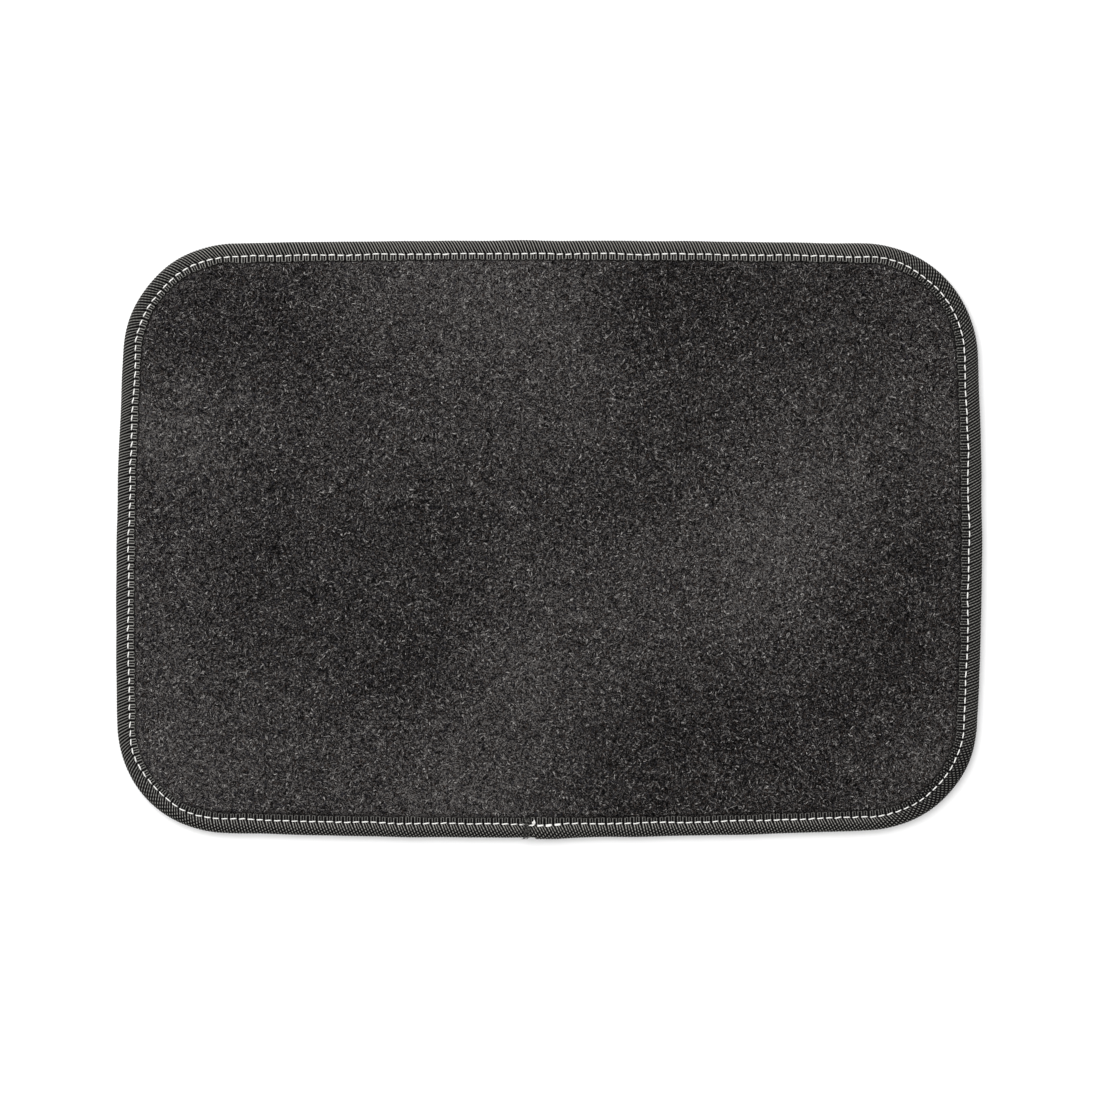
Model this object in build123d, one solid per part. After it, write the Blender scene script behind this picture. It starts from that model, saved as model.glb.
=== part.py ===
"""Felt desk mat with a bound and stitched edge.

The mat lies flat: X is its length, Y its depth (front edge at -Y) and Z is up from the desk.
A felt face is bonded to a grip backing. A woven tape folds over the raw edge of both, all the
way round, laps over its own start on the front edge, and a lockstitch seam holds it there.
Sections of the edge are drawn as (inset, height): inset runs inwards from the outer line of the mat.
"""

import os
from dataclasses import dataclass
from math import atan2, cos, degrees, hypot, pi, sin

from build123d import *

# Overall size, over the lap in the binding
MAT_LENGTH = 405.0
MAT_DEPTH = 280.0

# Layers, as heights above the desk
BACKING_TOP = 1.5
BOND_THICKNESS = 0.1
FELT_TOP = 4.7
FELT_BASE = BACKING_TOP + BOND_THICKNESS

# Binding tape
TAPE_THICKNESS = 0.75
TAPE_COVER = 9.0  # how far the tape reaches in over the face and the back
EDGE_HEIGHT = 5.1  # over the rolled outer edge
NOSE_RADIUS = EDGE_HEIGHT / 2
VALLEY_HEIGHT = 4.15  # top of the tape where the seam pulls it down
INNER_HUMP_HEIGHT = 4.7
SELVAGE_HEIGHT = 4.5
VALLEY_HALF_WIDTH = 0.5
VALLEY_LIP = 0.15  # how much higher the tape is at the sides of the valley

# Seam
SEAM_INSET = 6.0
STITCH_PITCH = 4.09
NEEDLE_THREAD = 0.55  # diameters
BOBBIN_THREAD = 0.45
STITCH_GAP = 0.8  # between two stitches, where the thread dives through the mat
BOBBIN_GROOVE_WIDTH = 0.8
BOBBIN_GROOVE_DEPTH = 0.5

# Lap of the tape over its own start, on the front edge
LAP_START = -10.3  # X of the cut end
LAP_END = 12.2  # X where the lower layer stops
LAP_PROUD = 0.8  # what the second layer adds at the cut end
LAP_SUNK = -0.1  # and at the other end, where it is gone below the surface
LAP_ROOT = 0.35  # how deep the lap is rooted in the tape under it
BACKTACK_STITCHES = 3  # stitches sewn twice, where the seam ends over its start
BACKTACK_OFFSET = 0.6
BACKTACK_RISE = 0.3  # the second pass climbs the side of the valley

# Tied-off thread at the lap
KNOT_X = -7.0
KNOT_INSET = 8.0
KNOT_RADIUS = 0.5
TAIL_LENGTH = 4.0
TAIL_HEADING = 6.0  # degrees off the seam
TAIL_DROOP = 3.0  # degrees down from the knot

# Felt beyond the tape: it springs back to full height over this width
FELT_SHOULDER = 1.4
RIM_DEPTH = 14.0  # width of the swept rim, which the flat field overlaps
FIELD_INSET = 12.0
FIT = 0.02  # clearance between the tape and what lies in it or on it


@dataclass(frozen=True)
class Bow:
    """One side of the mat: a large arc, given by its outermost point, direction and radius."""

    apex: tuple
    outward: tuple
    radius: float

    @property
    def centre(self):
        return tuple(a - n * self.radius for a, n in zip(self.apex, self.outward))


@dataclass(frozen=True)
class Arc:
    """A counter-clockwise stretch of the outer line, angles in radians."""

    centre: tuple
    radius: float
    start: float
    end: float

    def length(self, inset):
        return (self.radius - inset) * (self.end - self.start)

    def at(self, angle, inset):
        reach = self.radius - inset
        return self.centre[0] + reach * cos(angle), self.centre[1] + reach * sin(angle)


FRONT = Bow((-14.6, -MAT_DEPTH / 2 + LAP_PROUD), (0, -1), 3927)
RIGHT = Bow((MAT_LENGTH / 2, 2.0), (1, 0), 1773)
BACK = Bow((-3.0, MAT_DEPTH / 2), (0, 1), 8107)
LEFT = Bow((-MAT_LENGTH / 2, -33.5), (-1, 0), 2181)
SIDES = (FRONT, RIGHT, BACK, LEFT)
CORNER_RADII = (52.0, 53.3, 52.7, 50.2)  # the corner after each side, counter-clockwise


def corner_centre(a, b, radius):
    """Centre of the corner arc that is tangent to the inside of two sides."""
    (ax, ay), (bx, by) = a.centre, b.centre
    reach_a, reach_b = a.radius - radius, b.radius - radius
    span = hypot(bx - ax, by - ay)
    along = (reach_a**2 - reach_b**2 + span**2) / (2 * span)
    across = (reach_a**2 - along**2) ** 0.5
    ux, uy = (bx - ax) / span, (by - ay) / span
    foot = (ax + along * ux, ay + along * uy)
    both = [(foot[0] - s * across * uy, foot[1] + s * across * ux) for s in (1, -1)]
    out = (a.outward[0] + b.outward[0], a.outward[1] + b.outward[1])
    return max(both, key=lambda p: p[0] * out[0] + p[1] * out[1])


def direction(start, end):
    """Angle of the line from one point to another, in radians."""
    return atan2(end[1] - start[1], end[0] - start[0])


def outer_line():
    """The eight tangent arcs round the mat, counter-clockwise from the front side."""
    count = len(SIDES)
    centres = [
        corner_centre(SIDES[i], SIDES[(i + 1) % count], CORNER_RADII[i]) for i in range(count)
    ]
    arcs = []
    for i, side in enumerate(SIDES):
        following = SIDES[(i + 1) % count]
        begin = direction(side.centre, centres[i - 1])
        end = direction(side.centre, centres[i])
        turn = direction(following.centre, centres[i])
        arcs.append(Arc(side.centre, side.radius, begin, begin + (end - begin) % (2 * pi)))
        arcs.append(Arc(centres[i], CORNER_RADII[i], end, end + (turn - end) % (2 * pi)))
    return arcs


ARCS = outer_line()


def plate(inset, bottom, top):
    """A flat layer whose edge follows the outer line at an inset."""
    edges = [
        CenterArc(arc.centre, arc.radius - inset, degrees(arc.start), degrees(arc.end - arc.start))
        for arc in ARCS
    ]
    return Pos(0, 0, bottom) * extrude(make_face(edges), top - bottom)


def section_plane(arc, angle):
    """The upright plane across the edge: its x runs outwards and its y is the height."""
    outward = Vector(cos(angle), sin(angle), 0)
    return Plane(arc.at(angle, 0), x_dir=outward, z_dir=outward.cross(Vector(0, 0, 1)))


def ring(section):
    """Carries a section of the edge right round the mat, as one solid."""
    runs = [
        revolve(
            section_plane(arc, arc.start) * section,
            axis=Axis((*arc.centre, 0), (0, 0, 1)),
            revolution_arc=degrees(arc.end - arc.start),
        )
        for arc in ARCS
    ]
    return Part() + runs


def tape_surface(offset):
    """The tape's outer surface in section, moved out by an offset: the nose, then the top leaf."""
    radius = NOSE_RADIUS + offset
    valley_low, valley_high = SEAM_INSET - VALLEY_HALF_WIDTH, SEAM_INSET + VALLEY_HALF_WIDTH
    lip = VALLEY_HEIGHT + VALLEY_LIP + offset
    nose_low = (-NOSE_RADIUS, NOSE_RADIUS - radius)
    nose_mid = (radius - NOSE_RADIUS, NOSE_RADIUS)
    crest = (-NOSE_RADIUS, NOSE_RADIUS + radius)
    shoulder_inset = (NOSE_RADIUS + valley_low) / 2 + 0.3
    shoulder_height = (EDGE_HEIGHT + VALLEY_HEIGHT) / 2 + 0.22
    hump_inset = (valley_high + TAPE_COVER) / 2
    return [
        ThreePointArc(nose_low, nose_mid, crest),
        ThreePointArc(crest, (-shoulder_inset, shoulder_height + offset), (-valley_low, lip)),
        ThreePointArc((-valley_low, lip), (-SEAM_INSET, VALLEY_HEIGHT + offset), (-valley_high, lip)),
        ThreePointArc(
            (-valley_high, lip),
            (-hump_inset, INNER_HUMP_HEIGHT + offset),
            (-TAPE_COVER, SELVAGE_HEIGHT + offset),
        ),
    ]


def tape_section():
    """The folded tape: two leaves joined by the rolled nose, with a groove for the bobbin thread."""
    outside, inside = tape_surface(0), tape_surface(-TAPE_THICKNESS)
    half = BOBBIN_GROOVE_WIDTH / 2
    selvage = Line(outside[-1] @ 1, inside[-1] @ 1)
    under = Polyline(
        inside[0] @ 0,
        (-TAPE_COVER, TAPE_THICKNESS),
        (-TAPE_COVER, 0),
        (-SEAM_INSET - half, 0),
        (-SEAM_INSET - half, BOBBIN_GROOVE_DEPTH),
        (-SEAM_INSET + half, BOBBIN_GROOVE_DEPTH),
        (-SEAM_INSET + half, 0),
        outside[0] @ 0,
    )
    return make_face([*outside, selvage, *inside, under])


def core_section(bottom, top, springs_back):
    """The part of a layer that lies in the fold of the tape, out to the flat field."""
    surface = tape_surface(-TAPE_THICKNESS - FIT)
    fold_bottom = TAPE_THICKNESS + FIT
    edge = surface[-1] @ 1
    high = FELT_TOP + 1
    cover = Polyline(
        edge, (-TAPE_COVER - FIT, edge.Y), (-TAPE_COVER - FIT, high), (-RIM_DEPTH, high), (-RIM_DEPTH, 0)
    )
    under = Polyline(
        (-RIM_DEPTH, 0), (-TAPE_COVER - FIT, 0), (-TAPE_COVER - FIT, fold_bottom), surface[0] @ 0
    )
    inside = make_face([*surface, cover, under])
    band = Pos(-RIM_DEPTH / 2, (bottom + top) / 2) * Rectangle(RIM_DEPTH, top - bottom)
    section = inside & band
    if springs_back:
        corner = (-TAPE_COVER, top)
        low = (-TAPE_COVER, edge.Y)
        bulge = (-TAPE_COVER - FELT_SHOULDER * 0.3, top - (top - edge.Y) * 0.3)
        end = (-TAPE_COVER - FELT_SHOULDER, top)
        section -= make_face([ThreePointArc(low, bulge, end), Line(end, corner), Line(corner, low)])
    return section


def layer(bottom, top, springs_back=False):
    """A whole layer of the mat: the flat field and its rim in the fold of the tape."""
    return plate(FIELD_INSET, bottom, top) + ring(core_section(bottom, top, springs_back))


def lap_lift(x):
    """How far the second layer of tape stands above the first at an X along the lap."""
    share = (x - LAP_START) / (LAP_END - LAP_START)
    return LAP_PROUD + (LAP_SUNK - LAP_PROUD) * share if 0 <= share <= 1 else 0.0


def front_angle(x):
    """The angle on the front side's arc at which it passes an X."""
    return -pi / 2 + (x - FRONT.apex[0]) / FRONT.radius


def lap_section(x, root):
    """The second layer of tape in section at an X, rooted in the first."""
    outside, inside = tape_surface(lap_lift(x)), tape_surface(-root)
    ends = [Line(outside[i] @ i2, inside[i] @ i2) for i, i2 in ((0, 0), (-1, 1))]
    return section_plane(ARCS[0], front_angle(x)) * make_face([*outside, *inside, *ends])


def lap():
    """The tape's end, lying over its start and thinning out to nothing."""
    body = loft([lap_section(LAP_START, LAP_ROOT), lap_section(LAP_END, LAP_ROOT)], ruled=True)
    above_desk = Pos(0, 0, EDGE_HEIGHT) * Box(MAT_LENGTH, 2 * MAT_DEPTH, 2 * EDGE_HEIGHT)
    return body & above_desk


def seam_point(distance, inset):
    """Position and heading (degrees) on the line at an inset, a distance on from the cut end."""
    distance += (front_angle(LAP_START) - ARCS[0].start) * (ARCS[0].radius - inset)
    distance %= sum(arc.length(inset) for arc in ARCS)
    for arc in ARCS:
        if distance <= arc.length(inset):
            break
        distance -= arc.length(inset)
    angle = arc.start + distance / (arc.radius - inset)
    return arc.at(angle, inset), degrees(angle) + 90


def stitch(diameter, length):
    """One straight run of thread with rounded ends, along X."""
    radius = diameter / 2
    run = Rot(0, 90, 0) * Cylinder(radius, length - diameter)
    ends = [Pos(side * (length - diameter) / 2, 0, 0) * Sphere(radius) for side in (-1, 1)]
    return run + ends


def seam(diameter, height, inset, first=0, count=None, follows_lap=False):
    """A row of equal stitches round the mat, each one a solid of its own."""
    total = sum(arc.length(inset) for arc in ARCS)
    whole = round(total / STITCH_PITCH)
    pitch = total / whole
    one = stitch(diameter, pitch - STITCH_GAP)
    row = []
    for i in range(first, first + (count or whole)):
        (x, y), heading = seam_point((i + 0.5) * pitch, inset)
        high_end = x - (pitch - STITCH_GAP) / 2
        lift = max(0.0, lap_lift(high_end)) if follows_lap and y < 0 else 0.0
        row.append(Pos(x, y, height + lift) * Rot(0, 0, heading) * one)
    return row


def tied_tail():
    """The knot that ends the needle thread, and its short tail drooping onto the tape."""
    thread = NEEDLE_THREAD / 2
    neck = (KNOT_RADIUS**2 - thread**2) ** 0.5
    bend = TAIL_LENGTH - thread
    outline = [
        ThreePointArc((-KNOT_RADIUS, 0), (0, KNOT_RADIUS), (neck, thread)),
        Line((neck, thread), (bend, thread)),
        ThreePointArc((bend, thread), (bend + thread * cos(pi / 4), thread * sin(pi / 4)), (TAIL_LENGTH, 0)),
        Line((TAIL_LENGTH, 0), (-KNOT_RADIUS, 0)),
    ]
    height = INNER_HUMP_HEIGHT + lap_lift(KNOT_X) + FIT + KNOT_RADIUS
    place = Pos(KNOT_X, FRONT.apex[1] + KNOT_INSET, height) * Rot(0, TAIL_DROOP, TAIL_HEADING)
    return place * revolve(make_face(outline), axis=Axis.X)


def needle_seam():
    """The upper thread of the seam, with the last stitches sewn twice beside the first."""
    height = VALLEY_HEIGHT + FIT + NEEDLE_THREAD / 2
    beside, raised = SEAM_INSET - BACKTACK_OFFSET, height + BACKTACK_RISE
    doubled = seam(NEEDLE_THREAD, raised, beside, 1, BACKTACK_STITCHES, follows_lap=True)
    return seam(NEEDLE_THREAD, height, SEAM_INSET, follows_lap=True) + doubled


def bobbin_seam():
    """The lower thread of the seam, sunk in its groove under the mat."""
    return seam(BOBBIN_THREAD, BOBBIN_GROOVE_DEPTH - FIT - BOBBIN_THREAD / 2, SEAM_INSET)


NODES = {
    "felt_face": lambda: layer(FELT_BASE, FELT_TOP, springs_back=True),
    "bond_film": lambda: layer(BACKING_TOP, FELT_BASE),
    "grip_backing": lambda: layer(0, BACKING_TOP),
    "edge_binding": lambda: ring(tape_section()) + lap(),
    "needle_thread": lambda: Compound(children=needle_seam()),
    "bobbin_thread": lambda: Compound(children=bobbin_seam()),
    "thread_tail": tied_tail,
}

os.makedirs("parts", exist_ok=True)
for name, build in NODES.items():
    export_step(build(), f"parts/{name}.step")
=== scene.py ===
"""The look of a felt desk mat with a bound and stitched edge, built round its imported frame.

Sizes are in millimetres and become metres where a piece is made. Places on the edge are given as
(along, inset, height): along runs counter-clockwise on the seam line from the cut end of the
tape, inset runs inwards from the outer line of the mat, and height is above the desk.
"""

import logging
import math
from collections.abc import Sequence
from dataclasses import dataclass, field
from enum import Enum

import bpy
import numpy as np
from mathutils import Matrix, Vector


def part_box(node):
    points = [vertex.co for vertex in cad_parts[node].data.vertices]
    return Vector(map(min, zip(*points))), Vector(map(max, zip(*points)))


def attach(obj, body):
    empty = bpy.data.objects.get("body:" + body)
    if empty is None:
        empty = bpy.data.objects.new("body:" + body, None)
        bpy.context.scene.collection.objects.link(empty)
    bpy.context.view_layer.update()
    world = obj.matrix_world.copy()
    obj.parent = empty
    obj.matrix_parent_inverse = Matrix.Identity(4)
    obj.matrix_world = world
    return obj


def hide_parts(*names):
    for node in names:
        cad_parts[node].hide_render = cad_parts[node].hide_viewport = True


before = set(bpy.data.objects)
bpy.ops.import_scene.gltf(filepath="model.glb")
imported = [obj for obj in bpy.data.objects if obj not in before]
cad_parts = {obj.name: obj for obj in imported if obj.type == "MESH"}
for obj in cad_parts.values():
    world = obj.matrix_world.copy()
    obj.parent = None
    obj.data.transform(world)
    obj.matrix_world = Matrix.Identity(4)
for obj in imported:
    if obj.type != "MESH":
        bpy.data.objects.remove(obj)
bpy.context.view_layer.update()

LOG = logging.getLogger("desk_mat")
MM = 0.001
TURN = 2 * math.pi
BODY = "root"
Array = np.ndarray
Colour = tuple[float, float, float]

# What the meshes carry for their finishes, at each point.
WEAVE_MAP = "weave"
DOTTED = "dotted"
SHADED = "shaded"
SELVAGE = "selvage"
TONE = "tone"

# What the sheets were cut to, in metres.
FACE_LEAF_WIDTH = 0.0155


# ---------------------------------------------------------------------------------- shaders


@dataclass(frozen=True)
class Signal:
    """A shader socket that can stand in a Python expression."""

    shader: "Shader"
    socket: bpy.types.NodeSocket

    def __add__(self, other: "Signal | float") -> "Signal":
        """The sum, as a Math node."""
        return self.shader.maths("ADD", self, other)

    def __radd__(self, other: float) -> "Signal":
        """The sum, with the number first."""
        return self.shader.maths("ADD", other, self)

    def __sub__(self, other: "Signal | float") -> "Signal":
        """The difference, as a Math node."""
        return self.shader.maths("SUBTRACT", self, other)

    def __rsub__(self, other: float) -> "Signal":
        """The difference, with the number first."""
        return self.shader.maths("SUBTRACT", other, self)

    def __mul__(self, other: "Signal | float") -> "Signal":
        """The product, as a Math node."""
        return self.shader.maths("MULTIPLY", self, other)

    def __rmul__(self, other: float) -> "Signal":
        """The product, with the number first."""
        return self.shader.maths("MULTIPLY", other, self)

    def __pow__(self, power: float) -> "Signal":
        """The power, as a Math node."""
        return self.shader.maths("POWER", self, power)


class Shader:
    """One material's node tree, written as expressions on signals."""

    def __init__(self, name: str) -> None:
        """Makes an empty material.

        Args:
            name: the material's name.
        """
        self.material = bpy.data.materials.new(name)
        self.material.use_nodes = True
        self.tree = self.material.node_tree
        self.tree.nodes.clear()

    def node(self, kind: str, settings: dict | None = None, sockets: dict | None = None) -> bpy.types.Node:
        """Adds a node.

        Args:
            kind: the node's type, without its ShaderNode prefix.
            settings: properties set before the sockets; "stops" gives a ramp's (place, colour) pairs.
            sockets: input name or number to a plain value or a signal.

        Returns:
            The new node.
        """
        node = self.tree.nodes.new("ShaderNode" + kind)
        for key, value in (settings or {}).items():
            if key == "stops":
                self._set_stops(node.color_ramp, value)
            else:
                setattr(node, key, value)
        for key, value in (sockets or {}).items():
            if isinstance(value, Signal):
                self.tree.links.new(value.socket, node.inputs[key])
            else:
                node.inputs[key].default_value = value
        return node

    @staticmethod
    def _set_stops(ramp: bpy.types.ColorRamp, stops: Sequence[tuple[float, Colour]]) -> None:
        """Gives a colour ramp its stops.

        Args:
            ramp: the ramp, which has two stops when it is new.
            stops: (place, colour) pairs, in order.
        """
        while len(ramp.elements) < len(stops):
            ramp.elements.new(1.0)
        for element, (place, colour) in zip(ramp.elements, stops):
            element.position = place
            element.color = (*colour, 1.0)

    def signal(
        self, kind: str, settings: dict | None = None, sockets: dict | None = None, output: int | str = 0
    ) -> Signal:
        """Adds a node and gives one of its outputs, with node()'s arguments."""
        return Signal(self, self.node(kind, settings, sockets).outputs[output])

    def maths(self, operation: str, *values: Signal | float) -> Signal:
        """Adds a Math node on the given values."""
        return self.signal("Math", {"operation": operation}, dict(enumerate(values)))

    def larger(self, *values: Signal) -> Signal:
        """The largest of several values.

        Args:
            values: two or more signals.

        Returns:
            The largest, by a chain of Math nodes.
        """
        most = values[0]
        for value in values[1:]:
            most = self.maths("MAXIMUM", most, value)
        return most

    def limited(self, value: Signal, low: float, high: float) -> Signal:
        """Maps low to high onto 0 to 1, smoothly and without overshoot."""
        settings = {"interpolation_type": "SMOOTHSTEP"}
        return self.signal("MapRange", settings, {"Value": value, "From Min": low, "From Max": high})

    def wave(self, count: Signal) -> Signal:
        """A smooth wave that is 1 at whole counts and 0 midway between them."""
        return self.maths("COSINE", count * TURN) * 0.5 + 0.5

    def mixed(self, factor: Signal | float, low: Signal | Colour, high: Signal | Colour) -> Signal:
        """Mixes two colours.

        Args:
            factor: 0 gives low and 1 gives high.
            low: the first colour.
            high: the second colour.

        Returns:
            The mixed colour.
        """
        first, second = (c if isinstance(c, Signal) else (*c, 1.0) for c in (low, high))
        return self.signal("Mix", {"data_type": "RGBA"}, {0: factor, 6: first, 7: second}, output=2)

    def ramp(self, value: Signal, stops: Sequence[tuple[float, Colour]]) -> Signal:
        """A colour ramp driven by a value."""
        return self.signal("ValToRGB", {"stops": stops}, {0: value})

    def scaled(self, at: Signal, scale: tuple[float, float, float]) -> Signal:
        """A point with each axis multiplied by a number."""
        return self.signal("VectorMath", {"operation": "MULTIPLY"}, {0: at, 1: scale})

    def place(self) -> Signal:
        """The point on the object in millimetres."""
        return self.scaled(self.signal("TexCoord", output="Object"), (1 / MM,) * 3)

    def noise(
        self, at: Signal, size: float, detail: float = 2.0, rough: float = 0.5, warp: float = 0.0
    ) -> Signal:
        """Soft random variation.

        Args:
            at: the point to read it at, in millimetres.
            size: the size of its features, in millimetres.
            detail: how many finer octaves it has.
            rough: the strength of each octave beside the last.
            warp: how far its features are twisted.

        Returns:
            A value about 0.5.
        """
        octaves = {"Detail": detail, "Roughness": rough, "Distortion": warp}
        return self.signal("TexNoise", None, {"Vector": at, "Scale": 1 / size, **octaves})

    def streaks(self, at: Signal, heading: float, length: float, width: float) -> Signal:
        """Short soft strokes that lie one way.

        Args:
            at: the point to read them at, in millimetres.
            heading: the way they lie, in radians.
            length: a stroke's length.
            width: a stroke's width.

        Returns:
            A value about 0.5, high on the strokes.
        """
        sockets = {"Vector": at, "Axis": (0.0, 0.0, 1.0), "Angle": heading}
        turned = self.signal("VectorRotate", {"rotation_type": "AXIS_ANGLE"}, sockets)
        stretched = self.scaled(turned, (1 / length, 1 / width, 1 / width))
        return self.noise(stretched, 1.0, detail=1.0, warp=0.35)

    def weave(self) -> tuple[Signal, Signal]:
        """The two numbers that a woven or twisted piece carries at each point.

        Returns:
            The count of ribs or turns, and the distance across or along.
        """
        point = self.signal("UVMap", {"uv_map": WEAVE_MAP})
        parts = self.node("SeparateXYZ", None, {0: point})
        return Signal(self, parts.outputs[0]), Signal(self, parts.outputs[1])

    def attribute(self, name: str) -> Signal:
        """A number that the mesh carries at each point."""
        return self.signal("Attribute", {"attribute_name": name}, output="Fac")

    def finish(self, sockets: dict, relief: Signal | None = None, depth: float = 0.0) -> bpy.types.Material:
        """Closes the material with a Principled shader.

        Args:
            sockets: the shader's inputs.
            relief: a height for its bump, from 0 to 1.
            depth: the height in millimetres that 1 stands for.

        Returns:
            The finished material.
        """
        if relief is not None:
            bump = {"Height": relief, "Strength": 1.0, "Distance": depth * MM}
            sockets = {**sockets, "Normal": self.signal("Bump", None, bump)}
        surface = self.signal("BsdfPrincipled", None, sockets)
        self.node("OutputMaterial", None, {"Surface": surface})
        return self.material


@dataclass(frozen=True)
class FeltFinish:
    """Charcoal needle felt: matted fibres of black, grey and pale wool that lie in all directions.

    Attributes:
        name: the material's name.
        pit: the colour of the gaps between fibres, a painted shade darker than the wool.
        charcoal: the colour of most of the wool.
        grey: the colour of the greyer wool.
        pale: the colour of the palest wool.
        headings: the ways that the strokes of fibre lie, in radians.
        stroke: a stroke's length and width.
        mottle_size: the size of the mottle between strokes.
        strokes, mottle, tone: how much each of these adds to the shade.
        darker: what is then taken off the shade.
        depth: the height of the relief.
    """

    name: str = "felt_charcoal"
    pit: Colour = (0.002, 0.002, 0.002)
    charcoal: Colour = (0.012, 0.011, 0.011)
    grey: Colour = (0.034, 0.031, 0.031)
    pale: Colour = (0.125, 0.118, 0.113)
    headings: tuple[float, ...] = (0.3, 1.1, 1.8, 2.7)
    stroke: tuple[float, float] = (1.3, 0.36)
    mottle_size: float = 0.55
    strokes: float = 0.72
    mottle: float = 0.5
    tone: float = 0.012
    darker: float = 0.099
    depth: float = 0.7

    def material(self) -> bpy.types.Material:
        """Builds the material.

        Returns:
            The finished material.
        """
        shader = Shader(self.name)
        point = shader.place()
        strokes = shader.larger(*(shader.streaks(point, way, *self.stroke) for way in self.headings))
        mottle = shader.noise(point, self.mottle_size, detail=2.0, rough=0.6)
        fibres = strokes * self.strokes + mottle * self.mottle
        shade = fibres + shader.attribute(TONE) * self.tone - self.darker
        # The pit stop paints the shade in the gaps between fibres.
        stops = [(0.525, self.pit), (0.57, self.charcoal), (0.615, self.grey), (0.68, self.pale)]
        sockets = {
            "Base Color": shader.ramp(shade, stops),
            "Roughness": 0.82 + 0.16 * mottle,
            "Specular IOR Level": 0.03,
        }
        return shader.finish(sockets, shade, self.depth)


@dataclass(frozen=True)
class FibreDye:
    """One dye lot of fibre in the felt's blend.

    Attributes:
        word: the word for it in names.
        colour: its colour.
        pieces: how many pieces its fibres fill.
        together: how many of its fibres lie together in a wisp.
        bends: where along a fibre its cross sections are.
        paler: how much more of it there is where the felt is paler.
        right: how much more of it there is towards the right.
    """

    word: str
    colour: Colour
    pieces: int = 2
    together: int = 2
    bends: tuple[float, ...] = (0.3, 0.7)
    paler: float = 0.0
    right: float = 0.0


class FibreShade(Enum):
    """The dye lots blended in the felt's nap."""

    CHARCOAL = FibreDye("charcoal", (0.006, 0.0057, 0.0057), pieces=1, paler=-0.2)
    WARM = FibreDye("warm", (0.041, 0.031, 0.027), right=0.4)
    COOL = FibreDye("cool", (0.033, 0.032, 0.038), right=-0.4)
    LIGHT = FibreDye("light", (0.18, 0.172, 0.167), paler=0.15)
    PALE = FibreDye("pale", (0.34, 0.327, 0.317), pieces=1, paler=0.15)
    BLACK = FibreDye("black", (0.0012, 0.0012, 0.0013), pieces=3, paler=-0.2)


@dataclass(frozen=True)
class FibreFinish:
    """A dyed fibre of one shade, a little paler and duller from strand to strand."""

    shade: FibreShade
    drift_size: float = 0.9
    dimmest: float = 0.5
    brightest: float = 1.5

    def material(self) -> bpy.types.Material:
        """Builds the material.

        Returns:
            The finished material.
        """
        word, colour = self.shade.value.word, self.shade.value.colour
        shader = Shader(f"felt_fibre_{word}")
        drift = shader.noise(shader.place(), self.drift_size, detail=1.0)
        dim, bright = (tuple(c * share for c in colour) for share in (self.dimmest, self.brightest))
        sockets = {
            "Base Color": shader.mixed(shader.limited(drift, 0.3, 0.7), dim, bright),
            "Roughness": 0.7,
            "Specular IOR Level": 0.03,
        }
        return shader.finish(sockets)


@dataclass(frozen=True)
class TapeFinish:
    """Black binding tape: cross ribs whose grey is a painted sheen highlight, with black gaps, broken into
    beads where the warp shows.

    The tape carries its rib count and the distance across it, how far the black warp shows over
    the ribs, how brightly the ribs stand in the light, and how near the selvage each point is.

    Attributes:
        name: the material's name.
        gap: the colour between two ribs, a painted shade darker than the warp's yarns.
        warp: the colour of the warp's own yarns.
        rib: the painted sheen highlight on a rib's crest, over the black yarn.
        warp_repeat: the distance across the tape after which the warp's crossings repeat.
        crest: the part of a rib's wave that is lit.
        beading: the part of the crossings' wave over which a rib goes under the warp.
        selvage_from: where on the inner strip the ribs' turned loops start.
        loop_light: how brightly the loops are lit beside the ribs.
        yarn_size: the size of the yarns' grain.
        wear_size: the size of worn and fresh places.
        depth: the height of the relief.
    """

    name: str = "binding_tape"
    gap: Colour = (0.0015, 0.0015, 0.0015)
    warp: Colour = (0.0045, 0.0045, 0.0044)
    rib: Colour = (0.3, 0.293, 0.272)
    warp_repeat: float = 1.4
    crest: tuple[float, float] = (0.66, 1.0)
    beading: tuple[float, float] = (-0.55, 0.45)
    selvage_from: tuple[float, float] = (0.88, 0.99)
    loop_light: float = 0.6
    yarn_size: float = 0.5
    wear_size: float = 9.0
    depth: float = 0.16

    def material(self) -> bpy.types.Material:
        """Builds the material.

        Returns:
            The finished material.
        """
        shader = Shader(self.name)
        count, across = shader.weave()
        point = shader.place()
        ridge = shader.wave(count)
        warp = shader.maths("COSINE", across * (TURN / self.warp_repeat))
        beads = warp * shader.maths("COSINE", count * math.pi)
        crossing = shader.limited(beads, *self.beading) * shader.attribute(DOTTED)
        turned = shader.limited(shader.maths("SINE", count * math.pi), 0.3, 0.85)
        loops = turned * shader.limited(shader.attribute(SELVAGE), *self.selvage_from) * self.loop_light
        yarn = shader.noise(point, self.yarn_size, detail=2.0, warp=0.5)
        wear = shader.noise(point, self.wear_size, detail=2.0)
        raised = shader.larger(shader.limited(ridge, *self.crest), loops) * (1.0 - crossing)
        # The gap colour is painted shade between the warp's yarns.
        black = shader.mixed(shader.limited(warp, -0.2, 1.0) * yarn, self.gap, self.warp)
        lit = raised * shader.attribute(SHADED) * (0.4 + yarn * 0.7 + wear * 0.5)
        # The ribs' grey is a painted sheen highlight on the black tape.
        sockets = {
            "Base Color": shader.mixed(lit, black, self.rib),
            "Roughness": 0.45 + 0.3 * yarn,
            "Specular IOR Level": 0.05,
        }
        return shader.finish(sockets, raised * 0.8 + yarn * 0.2, self.depth)


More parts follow.
